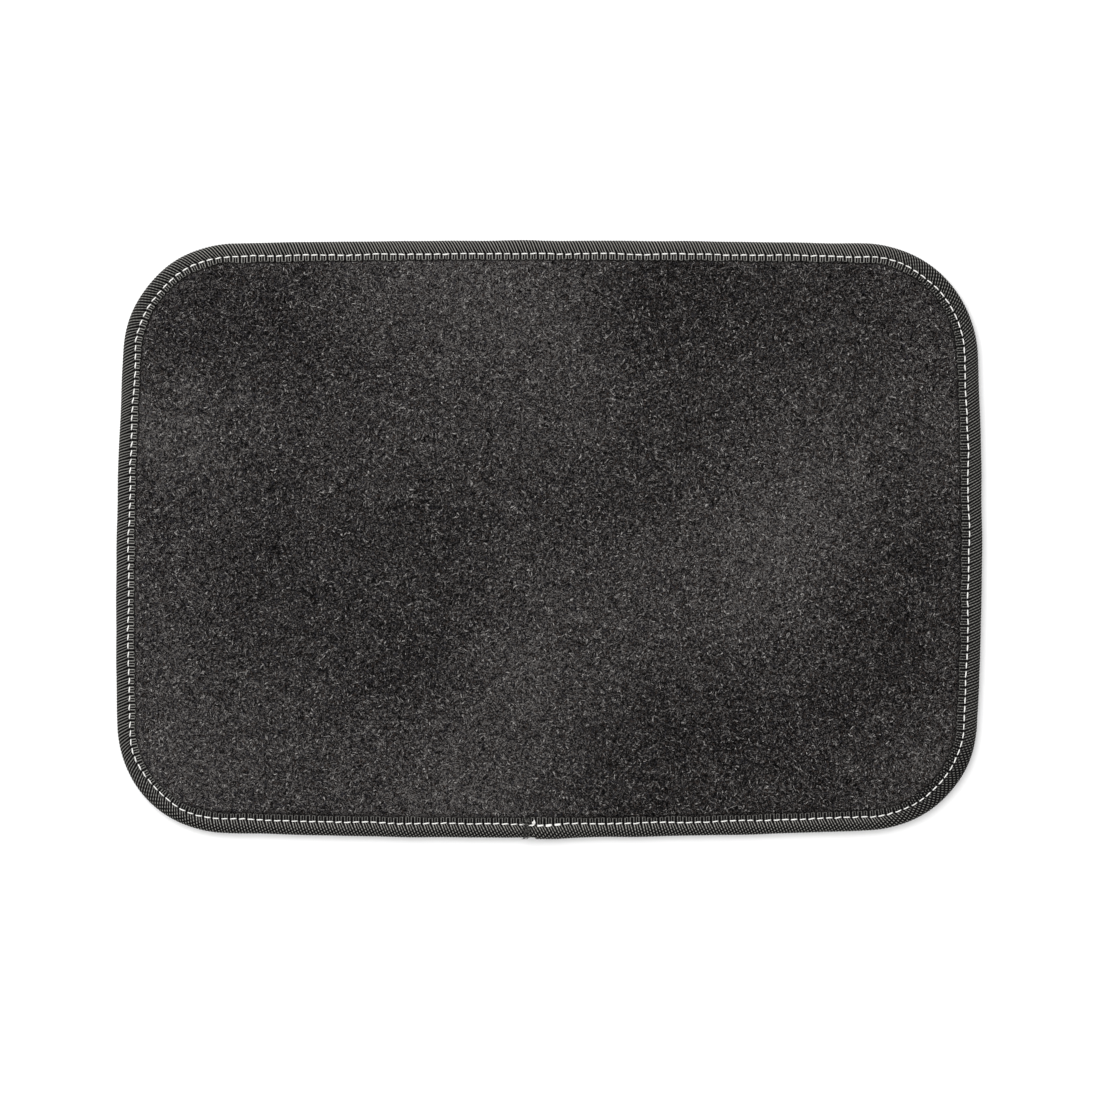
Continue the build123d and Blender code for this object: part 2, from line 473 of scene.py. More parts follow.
@dataclass(frozen=True)
class ThreadFinish:
    """White twisted sewing thread: bright plies with shaded grooves and a fine fibre grain."""

    name: str = "thread_white"
    groove: Colour = (0.5, 0.49, 0.46)
    ply: Colour = (0.9, 0.89, 0.87)
    grain_size: float = 0.12
    depth: float = 0.03

    def material(self) -> bpy.types.Material:
        """Builds the material.

        Returns:
            The finished material.
        """
        shader = Shader(self.name)
        turn, _ = shader.weave()
        lobe = shader.wave(turn)
        grain = shader.noise(shader.place(), self.grain_size, detail=2.0)
        lit = shader.limited(lobe, 0.0, 0.6) * (0.7 + grain * 0.5)
        colour = shader.mixed(lit, self.groove, self.ply)
        sockets = {"Base Color": colour, "Roughness": 0.4 + 0.25 * grain, "Sheen Weight": 0.2}
        return shader.finish(sockets, grain, self.depth)


@dataclass(frozen=True)
class LooseYarnFinish:
    """Black warp yarn that has come loose, with grey where the light catches its twist."""

    name: str = "tape_yarn_black"
    groove: Colour = (0.002, 0.002, 0.002)
    ply: Colour = (0.3, 0.292, 0.27)
    grain_size: float = 0.8
    depth: float = 0.03

    def material(self) -> bpy.types.Material:
        """Builds the material.

        Returns:
            The finished material.
        """
        shader = Shader(self.name)
        turn, _ = shader.weave()
        lobe = shader.wave(turn)
        grain = shader.noise(shader.place(), self.grain_size, detail=2.0)
        lit = lobe * shader.limited(grain, 0.42, 0.66)
        sockets = {
            "Base Color": shader.mixed(lit, self.groove, self.ply),
            "Roughness": 0.45 + 0.3 * grain,
            "Specular IOR Level": 0.1,
        }
        return shader.finish(sockets, lobe, self.depth)


@dataclass(frozen=True)
class RubberFinish:
    """Foamed black rubber: fine open cells, with a grey bloom on what has rubbed the desk."""

    name: str = "grip_rubber"
    body: Colour = (0.016, 0.016, 0.017)
    bloom: Colour = (0.05, 0.05, 0.052)
    cells_to_a_millimetre: float = 2.2
    dust_size: float = 14.0
    depth: float = 0.15

    def material(self) -> bpy.types.Material:
        """Builds the material.

        Returns:
            The finished material.
        """
        shader = Shader(self.name)
        point = shader.place()
        sockets = {"Vector": point, "Scale": self.cells_to_a_millimetre}
        cells = shader.signal("TexVoronoi", {"feature": "SMOOTH_F1"}, sockets)
        dust = shader.noise(point, self.dust_size, detail=4.0, rough=0.65)
        colour = shader.mixed(shader.limited(dust, 0.45, 0.75), self.body, self.bloom)
        sockets = {"Base Color": colour, "Roughness": 0.65 + 0.25 * dust}
        return shader.finish(sockets, cells, self.depth)


@dataclass(frozen=True)
class FilmFinish:
    """Translucent bond film, cloudy where it has soaked into the felt."""

    name: str = "bond_film"
    thin: Colour = (0.5, 0.48, 0.42)
    thick: Colour = (0.72, 0.7, 0.63)
    cloud_size: float = 4.0

    def material(self) -> bpy.types.Material:
        """Builds the material.

        Returns:
            The finished material.
        """
        shader = Shader(self.name)
        cloud = shader.noise(shader.place(), self.cloud_size, detail=3.0)
        colour = shader.mixed(cloud, self.thin, self.thick)
        return shader.finish({"Base Color": colour, "Roughness": 0.3 + 0.3 * cloud})


@dataclass(frozen=True)
class FloorFinish:
    """The studio's plain white table."""

    name: str = "studio_white"
    white: float = 0.92

    def material(self) -> bpy.types.Material:
        """Builds the material.

        Returns:
            The finished material.
        """
        colour = (*(self.white,) * 3, 1.0)
        sockets = {"Base Color": colour, "Roughness": 0.9, "Specular IOR Level": 0.0}
        return Shader(self.name).finish(sockets)


# --------------------------------------------------------------------------- shape helpers


def smoothstep(values: Array, low: float, high: float) -> Array:
    """Maps low to high onto 0 to 1 with level ends."""
    share = np.clip((values - low) / (high - low), 0.0, 1.0)
    return share * share * (3 - 2 * share)


def near(distance: Array, reach: float | Array) -> Array:
    """1 at no distance, falling off smoothly over a reach."""
    return np.exp(-((distance / reach) ** 2))


def random_relief(rng: np.random.Generator, shape: tuple[int, int], step: float, size: float) -> Array:
    """Smooth random relief on a grid.

    Args:
        rng: the source of randomness.
        shape: rows and columns.
        step: the grid's spacing.
        size: the size of the bumps.

    Returns:
        Heights with a mean of 0 and a spread of 1.
    """
    rows, columns = shape
    pitch = np.hypot(np.fft.fftfreq(rows, step)[:, None], np.fft.rfftfreq(columns, step)[None, :])
    spectrum = np.fft.rfft2(rng.standard_normal(shape)) * np.exp(-((pitch * size) ** 2))
    relief = np.fft.irfft2(spectrum, s=shape)
    return (relief - relief.mean()) / relief.std()


def ring_faces(rings: int, around: int, closed: bool = True) -> Array:
    """Quads between rings of points.

    Args:
        rings: how many rings there are.
        around: points in each ring.
        closed: whether a ring's last point joins its first.

    Returns:
        Point numbers, four to a face.
    """
    spots = around if closed else around - 1
    ring, spot = np.meshgrid(np.arange(rings - 1), np.arange(spots), indexing="ij")
    beside = (spot + 1) % around
    here, ahead = ring * around, (ring + 1) * around
    corners = (here + spot, here + beside, ahead + beside, ahead + spot)
    return np.stack(corners, axis=-1).reshape(-1, 4)


def tube_faces(rings: int, around: int, firsts: Array | Sequence[int] = (0,)) -> list[Array]:
    """The walls and the two lids of closed tubes.

    Args:
        rings: how many rings each tube has.
        around: points in each ring.
        firsts: the number of each tube's first point.

    Returns:
        The walls, the lids on the first rings and the lids on the last rings.
    """
    first = np.asarray(firsts)[:, None]
    ring = np.arange(around)[None]
    walls = (first[..., None] + ring_faces(rings, around)[None, :, ::-1]).reshape(-1, 4)
    return [walls, first + ring, first + (rings - 1) * around + ring[:, ::-1]]


@dataclass
class Piece:
    """A mesh on its way to becoming a named object.

    Attributes:
        name: the object's name.
        points: its points, in millimetres.
        faces: groups of faces, each as rows of point numbers of one length.
        weave: two numbers for each point that its finish reads as a weave or twist.
        numbers: other numbers for each point, by name.
    """

    name: str
    points: Array
    faces: list[Array]
    weave: Array | None = None
    numbers: dict[str, Array] = field(default_factory=dict)

    def make(self, material: bpy.types.Material, slot: str, node: str) -> bpy.types.Object:
        """Makes the object and gives it its place in the frame.

        Args:
            material: its finish.
            slot: the record's material slot; it is not used.
            node: the CAD node that it stands for.

        Returns:
            The object, riding on the mat.
        """
        mesh = bpy.data.meshes.new(self.name)
        corners = np.concatenate([f.ravel() for f in self.faces]).astype(np.int32)
        sizes = np.concatenate([np.full(len(f), f.shape[1]) for f in self.faces])
        starts = np.concatenate([[0], np.cumsum(sizes)[:-1]]).astype(np.int32)
        mesh.vertices.add(len(self.points))
        mesh.vertices.foreach_set("co", (self.points * MM).astype(np.float32).ravel())
        mesh.loops.add(len(corners))
        mesh.loops.foreach_set("vertex_index", corners)
        mesh.polygons.add(len(starts))
        mesh.polygons.foreach_set("loop_start", starts)
        mesh.update(calc_edges=True)
        mesh.shade_smooth()
        if self.weave is not None:
            layer = mesh.uv_layers.new(name=WEAVE_MAP)
            layer.data.foreach_set("uv", self.weave[corners].astype(np.float32).ravel())
        for name, values in self.numbers.items():
            layer = mesh.attributes.new(name, "FLOAT", "POINT")
            layer.data.foreach_set("value", values.astype(np.float32).ravel())
        mesh.materials.append(material)
        made = bpy.data.objects.new(self.name, mesh)
        bpy.context.scene.collection.objects.link(made)
        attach(made, BODY)
        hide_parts(node)
        LOG.info("%s: %d points, %d faces", self.name, len(self.points), len(starts))
        return made


# ------------------------------------------------------------------------------ the outline


@dataclass(frozen=True)
class Side:
    """One side of the mat: a large arc, given by its outermost point, direction and radius."""

    apex: tuple[float, float]
    outward: tuple[float, float]
    radius: float

    @property
    def centre(self) -> Array:
        """The arc's centre."""
        return np.array(self.apex) - self.radius * np.array(self.outward)


@dataclass(frozen=True)
class Stretch:
    """A counter-clockwise arc of the outer line, angles in radians."""

    centre: Array
    radius: float
    start: float
    end: float


@dataclass
class Outline:
    """The outer line of the mat: four slightly bowed sides joined by round corners.

    Attributes:
        half_length: how far the left and right sides stand out at most.
        front: how far forward the front side comes, below 0.
        back: how far back the back side goes.
        seam_inset: how far in the seam line runs, on which places are measured.
        cut_end: the place of the tape's cut end on the front side, from the middle.
        radii: each side's radius: front, right, back and left.
        flattest: the place on each side where it stands out most.
        corner_radii: each corner's radius, from the front right one counter-clockwise.
        stretches: the eight arcs, in order.
    """

    half_length: float
    front: float
    back: float
    seam_inset: float = 6.0
    cut_end: float = -10.3
    radii: tuple[float, float, float, float] = (3927.0, 1773.0, 8107.0, 2181.0)
    flattest: tuple[float, float, float, float] = (-14.6, 2.0, -3.0, -33.5)
    corner_radii: tuple[float, float, float, float] = (52.0, 53.3, 52.7, 50.2)
    stretches: list[Stretch] = field(default_factory=list)

    def __post_init__(self) -> None:
        """Works out the eight arcs, counter-clockwise from the front side."""
        apexes = (
            (self.flattest[0], self.front),
            (self.half_length, self.flattest[1]),
            (self.flattest[2], self.back),
            (-self.half_length, self.flattest[3]),
        )
        ways = ((0, -1), (1, 0), (0, 1), (-1, 0))
        sides = [Side(*values) for values in zip(apexes, ways, self.radii)]
        corners = [self._corner(sides[i], sides[(i + 1) % 4], self.corner_radii[i]) for i in range(4)]
        for i, side in enumerate(sides):
            begin = self._angle(side.centre, corners[i - 1])
            end = self._angle(side.centre, corners[i])
            turn = self._angle(sides[(i + 1) % 4].centre, corners[i])
            self._add(side.centre, side.radius, begin, end)
            self._add(corners[i], self.corner_radii[i], end, turn)
        at_cut = -math.pi / 2 + (self.cut_end - apexes[0][0]) / self.radii[0]
        self.cut_offset = (at_cut - self.stretches[0].start) * (self.radii[0] - self.seam_inset)

    @staticmethod
    def _angle(start: Array, end: Array) -> float:
        """Angle of the line from one point to another."""
        return math.atan2(end[1] - start[1], end[0] - start[0])

    @staticmethod
    def _corner(first: Side, second: Side, radius: float) -> Array:
        """Centre of the corner arc that is tangent to the inside of two sides.

        Args:
            first: the side before the corner.
            second: the side after it.
            radius: the corner's radius.

        Returns:
            The one of the two such centres that lies towards the corner.
        """
        reach, other = first.radius - radius, second.radius - radius
        line = second.centre - first.centre
        span = np.linalg.norm(line)
        unit = line / span
        along = (reach**2 - other**2 + span**2) / (2 * span)
        side = math.sqrt(reach**2 - along**2) * np.array((-unit[1], unit[0]))
        foot = first.centre + along * unit
        out = np.array(first.outward) + np.array(second.outward)
        return max(foot + side, foot - side, key=lambda point: float(point @ out))

    def _add(self, centre: Array, radius: float, start: float, end: float) -> None:
        """Adds an arc that turns counter-clockwise from start to end."""
        self.stretches.append(Stretch(centre, radius, start, start + (end - start) % TURN))

    @property
    def lengths(self) -> Array:
        """Each arc's length on the seam line."""
        return np.array([(s.radius - self.seam_inset) * (s.end - s.start) for s in self.stretches])

    @property
    def length(self) -> float:
        """The length of the whole seam."""
        return float(self.lengths.sum())

    def facing(self, along: Array) -> tuple[Array, Array]:
        """Finds places of the seam line on the arcs.

        Args:
            along: distance on the seam line from the tape's cut end.

        Returns:
            The number of the arc, and the angle that the edge faces there.
        """
        distance = (np.asarray(along, float) + self.cut_offset) % self.length
        ends = np.cumsum(self.lengths)
        which = np.minimum(np.searchsorted(ends, distance), len(ends) - 1)
        radii = np.array([s.radius for s in self.stretches])[which] - self.seam_inset
        starts = np.array([s.start for s in self.stretches])[which]
        return which, starts + (distance - (ends - self.lengths)[which]) / radii

    def place(self, along: Array, inset: Array) -> tuple[Array, Array, Array]:
        """Where points of the edge are.

        Args:
            along: distance on the seam line.
            inset: distance in from the outer line.

        Returns:
            X, Y and the angle that the edge faces.
        """
        which, angle = self.facing(along)
        centres = np.array([s.centre for s in self.stretches])[which]
        reach = np.array([s.radius for s in self.stretches])[which] - inset
        return centres[..., 0] + reach * np.cos(angle), centres[..., 1] + reach * np.sin(angle), angle

    def inset_of(self, x: Array, y: Array) -> tuple[Array, Array]:
        """Measures points of the mat against its outer line.

        Args:
            x: the points' X.
            y: the points' Y.

        Returns:
            How far they lie in from the outer line, and the angle that the nearest edge faces.
        """
        inset = np.full(x.shape, np.inf)
        angle = np.zeros(x.shape)
        for number in (0, 2, 4, 6, 1, 3, 5, 7):
            arc = self.stretches[number]
            right, up = x - arc.centre[0], y - arc.centre[1]
            depth, turn = arc.radius - np.hypot(right, up), np.arctan2(up, right)
            at_corner = (turn - arc.start) % TURN < arc.end - arc.start
            nearer = at_corner if number % 2 else depth < inset
            inset = np.where(nearer, depth, inset)
            angle = np.where(nearer, turn, angle)
        return inset, angle


@dataclass(frozen=True)
class BySide:
    """A size that differs from side to side and changes smoothly round the corners."""

    front: float
    right: float
    back: float
    left: float

    def at(self, angle: Array) -> Array:
        """Reads the size.

        Args:
            angle: the angle that the edge faces, in radians.

        Returns:
            The size there.
        """
        across, up = np.cos(angle), np.sin(angle)
        right, left = np.maximum(across, 0) ** 2, np.minimum(across, 0) ** 2
        back, front = np.maximum(up, 0) ** 2, np.minimum(up, 0) ** 2
        return self.front * front + self.right * right + self.back * back + self.left * left


@dataclass(frozen=True)
class Wander:
    """A slow hand-made unevenness round the closed edge, as a few waves of random phase."""

    amount: float
    shortest: float
    seed: int
    waves: int = 9

    def at(self, along: Array, length: float) -> Array:
        """Reads the unevenness.

        Args:
            along: distance along the edge.
            length: the whole edge's length.

        Returns:
            The unevenness there, with a mean of 0.
        """
        rng = np.random.default_rng(self.seed)
        turns = rng.integers(2, max(3, int(length / self.shortest)), self.waves)
        phases = rng.uniform(0, TURN, self.waves)
        total = sum(np.sin(TURN * n * along / length + p) for n, p in zip(turns, phases))
        return self.amount * total / math.sqrt(self.waves / 2)


# --------------------------------------------------------------------------------- the felt


@dataclass
class FeltFace:
    """The felt: a closed slab with a lumpy, tufted top that dives under the tape.

    Attributes:
        outline: the mat's outer line.
        cover: how far in the tape reaches.
        top, base: the felt's upper and lower height.
        step: the grid's spacing.
        tuck, tuck_height: how far in the slab stops inside the fold, and its height there.
        shoulder: the distance over which the felt rises beside the tape.
        lumps: the size and height of each scale of lumps.
        patches: the size and strength of each scale of paler and darker patches.
        seed: the seed of its lumps and patches.
    """

    outline: Outline
    cover: BySide
    top: float
    base: float
    step: float = 1.04
    tuck: float = 6.6
    tuck_height: float = 2.9
    shoulder: float = 2.3
    lumps: tuple[tuple[float, float], ...] = ((60.0, 0.12), (12.0, 0.06), (5.0, 0.05), (2.4, 0.07))
    patches: tuple[tuple[float, float], ...] = ((110.0, 1.0), (28.0, 0.18), (9.0, 0.18))
    seed: int = 11

    def __post_init__(self) -> None:
        """Lays out the grid and its heights."""
        rng = np.random.default_rng(self.seed)
        self.xs = np.arange(-self.outline.half_length, self.outline.half_length, self.step)
        self.ys = np.arange(self.outline.front, self.outline.back, self.step)
        shape = (len(self.ys), len(self.xs))
        x, y = np.meshgrid(self.xs, self.ys)
        self.inset, angle = self.outline.inset_of(x, y)
        relief, self.tone = (
            sum(strength * random_relief(rng, shape, self.step, size) for size, strength in scales)
            for scales in (self.lumps, self.patches)
        )
        past = self.inset - self.cover.at(angle)
        rise = smoothstep(past, -0.2, self.shoulder) ** 0.7
        self.heights = self.tuck_height + (self.top - self.tuck_height + relief) * rise

    def read(self, values: Array, x: Array, y: Array) -> Array:
        """Reads values of the grid at points between its lines.

        Args:
            values: the grid's heights or tone.
            x: the points' X.
            y: the points' Y.

        Returns:
            The value at each point.
        """
        column = np.clip((x - self.xs[0]) / self.step, 0, len(self.xs) - 1.001)
        row = np.clip((y - self.ys[0]) / self.step, 0, len(self.ys) - 1.001)
        i, j = row.astype(int), column.astype(int)
        u, v = column - j, row - i
        low = values[i, j] * (1 - u) + values[i, j + 1] * u
        high = values[i + 1, j] * (1 - u) + values[i + 1, j + 1] * u
        return low * (1 - v) + high * v

    def _border(self, quads: Array) -> list[int]:
        """Finds the border of the felt.

        Args:
            quads: the top's faces.

        Returns:
            The numbers of the points round the border, in order.
        """
        sides = np.concatenate([np.stack((quads[:, k], quads[:, (k + 1) % 4]), 1) for k in range(4)])
        known = set(map(tuple, sides.tolist()))
        following = {a: b for a, b in known if (b, a) not in known}
        first = min(following)
        loop = [first]
        while following[loop[-1]] != first:
            loop.append(following[loop[-1]])
        return loop

    def build(self) -> Piece:
        """Makes the slab.

        Returns:
            The tufted top, a wall hidden in the fold of the tape, and a flat back.
        """
        rows, columns = self.heights.shape
        quads = ring_faces(rows, columns, closed=False)
        quads = quads[(self.inset.ravel()[quads] > self.tuck).all(axis=1)]
        used, quads = np.unique(quads, return_inverse=True)
        quads = quads.reshape(-1, 4)
        x, y = np.meshgrid(self.xs, self.ys)
        top = np.stack((x.ravel(), y.ravel(), self.heights.ravel()), axis=1)[used]
        loop = np.array(self._border(quads))
        under = top[loop] * (1, 1, 0) + (0, 0, self.base)
        low = len(top) + np.arange(len(loop))
        walls = np.stack((np.roll(loop, -1), loop, low, np.roll(low, -1)), axis=1)
        tone = np.concatenate((self.tone.ravel()[used], np.zeros(len(loop))))
        faces = [quads, walls, low[None, ::-1]]
        return Piece("felt_face_body", np.concatenate((top, under)), faces, numbers={TONE: tone})


@dataclass
class FibreNap:
    """Fibres of one shade that lie in all directions over the felt, in wisps of a few together.

    Attributes:
        felt: what they lie on.
        shade: their dye lot.
        seed: the seed of their places.
        fibres: how many there are, if not as many as a piece may hold.
        length, width: a fibre's usual size.
        length_spread, width_spread: how much fibres differ in size.
        turn: how far the fibres of a wisp differ in heading.
        slip, spread: how far they lie apart, along and across.
        curl, curl_spread: how far wisps curl, and how far their fibres differ in that.
        bend: how far fibres bend like an S.
        lift, rise: how high their ends and their middles stand.
        sunk: how deep their tips are sunk.
        clear: how far they keep from the tape.
        taken: the share of the scattered places that are used.
        most_triangles: the most triangles that a piece may have.
    """

    felt: FeltFace
    shade: FibreShade
    seed: int
    fibres: int | None = None
    length: float = 1.4
    width: float = 0.21
    length_spread: float = 0.35
    width_spread: float = 0.22
    turn: float = 0.14
    slip: float = 0.35
    spread: float = 0.1
    curl: float = 0.15
    curl_spread: float = 0.05
    bend: float = 0.06
    lift: float = 0.2
    rise: float = 0.0
    sunk: float = 0.3
    clear: float = 0.8
    taken: float = 0.6
    most_triangles: int = 199_000

    def _wisps(self, rng: np.random.Generator) -> dict[str, Array]:
        """Scatters the wisps over the felt, and gives each fibre of a wisp its own small differences.

        Args:
            rng: the source of randomness.

        Returns:
            Each fibre's middle, heading, length, width, curl, bend and lift.
        """
        felt, outline, dye = self.felt, self.felt.outline, self.shade.value
        fibres = self.fibres or self.most_triangles // (6 * len(dye.bends))
        wisps = fibres // dye.together
        x = rng.uniform(-outline.half_length, outline.half_length, wisps * 4)
        y = rng.uniform(outline.front, outline.back, wisps * 4)
        inset, angle = outline.inset_of(x, y)
        liked = dye.paler * felt.read(felt.tone, x, y) + dye.right * x / outline.half_length
        chosen = rng.uniform(0, 1, len(x)) < self.taken * np.exp(liked)
        keep = np.flatnonzero((inset > felt.cover.at(angle) + self.clear) & chosen)[:wisps]
        middle = np.repeat(np.stack((x, y), axis=1)[keep], dye.together, axis=0)
        number, kept = len(middle), len(keep)
        heading = np.repeat(rng.uniform(0, TURN, kept), dye.together) + rng.normal(0, self.turn, number)
        length = np.repeat(self.length * rng.lognormal(0.0, self.length_spread, kept), dye.together)
        curl = np.repeat(rng.normal(0.0, self.curl, kept), dye.together)
        curl = curl + rng.normal(0.0, self.curl_spread, number)
        away = rng.normal(0.0, 1.0, (number, 2)) * (self.slip, self.spread)
        way = np.stack((np.cos(heading), np.sin(heading)), axis=1)
        beside = np.stack((-way[:, 1], way[:, 0]), axis=1)
        return {
            "middle": middle + way * away[:, :1] + beside * away[:, 1:],
            "way": way,
            "beside": beside,
            "length": length * rng.uniform(0.75, 1.15, number),
            "width": self.width * rng.lognormal(0.0, self.width_spread, number),
            "curl": curl,
            "bend": rng.normal(0.0, self.bend, number),
            "lift": self.lift * rng.uniform(0.1, 1.8, number),
        }

    def _spine(self, fibre: dict[str, Array], share: float) -> Array:
        """Finds the middle of every fibre at one place on its length.

        Args:
            fibre: what _wisps gives.
            share: the place, as a share of the length.

        Returns:
            A point for each fibre. The tips are sunk in the felt.
        """
        bow = fibre["curl"] * (4 * share * (1 - share) - 0.6) + fibre["bend"] * math.sin(TURN * share)
        along = fibre["length"] * (share - 0.5)
        sideways = fibre["length"] * bow
        flat = fibre["middle"] + fibre["way"] * along[:, None] + fibre["beside"] * sideways[:, None]
        arch = math.sin(math.pi * share)
        ground = self.felt.read(self.felt.heights, flat[:, 0], flat[:, 1])
        high = ground + fibre["lift"] - self.sunk * (1 - arch) + self.rise * arch
        return np.concatenate((flat, high[:, None]), axis=1)

    def build(self, name: str) -> Piece:
        """Makes the fibres.

        Args:
            name: the piece's name.

        Returns:
            The fibres as slim three-sided spindles.
        """
        fibre = self._wisps(np.random.default_rng(self.seed))
        number = len(fibre["length"])
        half = fibre["width"][:, None] / 2
        across = np.concatenate((fibre["beside"] * half, np.zeros((number, 1))), axis=1)
        crown = np.concatenate((np.zeros((number, 2)), half * 1.5), axis=1)
        points = [self._spine(fibre, 0.0)]
        bends = self.shade.value.bends
        for share in bends:
            middle = self._spine(fibre, share)
            points += [middle - across, middle + across, middle + crown]
        points.append(self._spine(fibre, 1.0))
        each = len(points)
        last = each - 1
        tips = [(0, 2, 1), (0, 3, 2), (0, 1, 3)]
        tips += [(last, last - 3, last - 2), (last, last - 2, last - 1), (last, last - 1, last - 3)]
        walls = ring_faces(len(bends), 3) + 1
        first = (np.arange(number) * each)[:, None, None]
        faces = [(first + np.array(tips)[None]).reshape(-1, 3), (first + walls[None]).reshape(-1, 4)]
        return Piece(name, np.stack(points, axis=1).reshape(-1, 3), faces)


# --------------------------------------------------------------------------------- the edge


# The tape's section in rows: shares of the strip inside the seam, shares of the roll outside it,
# and degrees round the nose. Then the heights of the leaf under the mat, from the nose inwards.
STRIP_ROWS = (1.0, 0.93, 0.78, 0.58, 0.38, 0.2)
ROLL_ROWS = (0.0, 0.09, 0.2, 0.36, 0.56, 0.78, 1.0)
NOSE_ROWS = (68.0, 45.0, 22.0, 0.0, -25.0, -50.0, -75.0, -90.0)
UNDER_HEIGHTS = (0.02, 0.02, 0.05, 0.35, 0.6, 0.3, 0.04, 0.02, 0.12)


@dataclass
class EdgeBinding:
    """The woven tape: folded over the edge, ribbed across, drawn down along the seam, and lapped.

    Attributes:
        outline: the mat's outer line.
        cover: how far in the tape reaches on the face.
        seam: how far in the seam runs.
        lean: how far the ribs lean outside the seam, in degrees.
        edge_height: the height of the rolled edge.
        valley: the height at the seam, where the thread draws the tape down.
        inner_rise, selvage_droop: how far the strip inside the seam rises, and its selvage falls.
        thickness: the folded tape's thickness.
        ribs_per_stitch, rib_height, columns_per_rib: the ribs and their fineness.
        stitches: how many stitches go round the mat.
        bunch: how far the ribs bunch between needle holes.
        hole_dip: how deep the needle holes are drawn.
        lap_lift, lap_length: how far the lap stands out, and its length.
        under_lap: how far the tape's start runs on under the lap.
        outline_wander, seam_wander, cover_wander, lean_wander: hand-made unevenness.
        corner_lean: how much more the ribs lean at the corners.
        beads: how far the ribs are broken into beads.
        strip_shade, roll_shade: how brightly the ribs are lit inside and outside the seam.
        dark_corner: how much less they are lit outside the seam at the front right corner.
        hole_shade, singed_shade: the painted shade at needle holes, and how much darker the singed cut end
            is.
        singed: how far the cut end is singed, past the cut and before it.
        bunch_reach: how far outside the seam the ribs still bunch.
        pressed, pulled: how much lower they are under the thread and at the needle holes.
        scallop: how far the selvage's loops stand in and out.
        ragged: how far the rows of the cut end differ.
        seed: the seed of the cut end.
    """

    outline: Outline
    cover: BySide
    seam: BySide = BySide(6.5, 6.3, 6.25, 5.9)
    lean: BySide = BySide(22.0, 27.0, 25.0, 22.0)
    edge_height: float = 5.1
    valley: float = 4.1
    inner_rise: float = 0.66
    selvage_droop: float = 0.3
    thickness: float = 0.66
    ribs_per_stitch: int = 3
    rib_height: float = 0.16
    columns_per_rib: int = 4
    stitches: int = 299
    bunch: float = 0.2
    hole_dip: float = 0.28
    lap_lift: float = 0.8
    lap_length: float = 22.5
    under_lap: float = 2.5
    outline_wander: Wander = Wander(0.09, 26.0, 5)
    seam_wander: Wander = Wander(0.15, 18.0, 6)
    cover_wander: Wander = Wander(0.16, 14.0, 7)
    corner_lean: float = 8.0
    lean_wander: Wander = Wander(3.0, 60.0, 8)
    beads: BySide = BySide(0.25, 0.4, 0.08, 0.15)
    strip_shade: BySide = BySide(0.5, 0.6, 0.92, 1.0)
    roll_shade: BySide = BySide(1.1, 0.68, 0.9, 0.66)
    dark_corner: float = 0.3
    hole_shade: float = 0.85
    singed_shade: float = 0.92
    singed: tuple[float, float] = (1.6, 0.9)
    bunch_reach: float = 2.4
    pressed: float = 0.6
    pulled: float = 0.55
    scallop: float = 0.17
    ragged: float = 0.5
    seed: int = 3

    @property
    def nose(self) -> float:
        """The radius of the rolled outer edge."""
        return self.edge_height / 2

    @property
    def pitch(self) -> float:
        """The distance from one needle hole to the next."""
        return self.outline.length / self.stitches

    def seam_at(self, along: Array) -> tuple[Array, Array]:
        """Finds the seam.

        Args:
            along: place on the seam.

        Returns:
            The seam's own inset, and the angle that the edge faces.
        """
        angle = self.outline.facing(along)[1]
        wander = self.seam_wander.at(along, self.outline.length)
        return self.seam.at(angle) + wander - 0.7 * self.lap(along), angle

    def lap(self, along: Array) -> Array:
        """How far the tape stands out over its own start."""
        past = smoothstep(np.asarray(along, float), 0.25 * self.lap_length, self.lap_length)
        return self.lap_lift * (1 - past)

    def hole(self, along: Array, reach: float) -> Array:
        """How near each place is to a needle hole, from 0 to 1."""
        away = (along / self.pitch + 0.5) % 1.0 - 0.5
        return near(away * self.pitch, reach)

    def leaf(self, along: Array) -> tuple[Array, Array, Array, Array]:
        """The tape's outer surface in section, from the selvage on the face round to the nose.

        Args:
            along: each column's place on the seam.

        Returns:
            Inset, height, distance out from the seam, and each row's share of the inner strip,
            with a row for each column.
        """
        seam, angle = self.seam_at(along)
        length = self.outline.length
        cover = self.cover.at(angle) + self.cover_wander.at(along, length)
        inner, outer, turns = np.array(STRIP_ROWS), np.array(ROLL_ROWS), np.radians(NOSE_ROWS)
        strip, roll = (cover - seam)[:, None], (seam - self.nose)[:, None]
        insets = [seam[:, None] + strip * inner, seam[:, None] - roll * outer]
        insets.append(np.broadcast_to(self.nose * (1 - np.cos(turns)), (len(along), len(turns))))
        crest = self.edge_height - self.valley
        heights = [
            self.valley + self.inner_rise * (1 - (1 - inner) ** 3) - self.selvage_droop * inner**6,
            self.valley + crest * (1 - (1 - outer) ** 2.2),
            self.nose * (1 + np.sin(turns)),
        ]
        out = [-strip * inner, roll * outer, roll + self.nose * (math.pi / 2 - turns)]
        share = np.concatenate((inner, np.zeros(len(outer) + len(turns))))
        inset = np.concatenate(insets, 1)
        height = np.broadcast_to(np.concatenate(heights), inset.shape)
        return inset, height, np.concatenate(out, 1), np.broadcast_to(share, inset.shape)

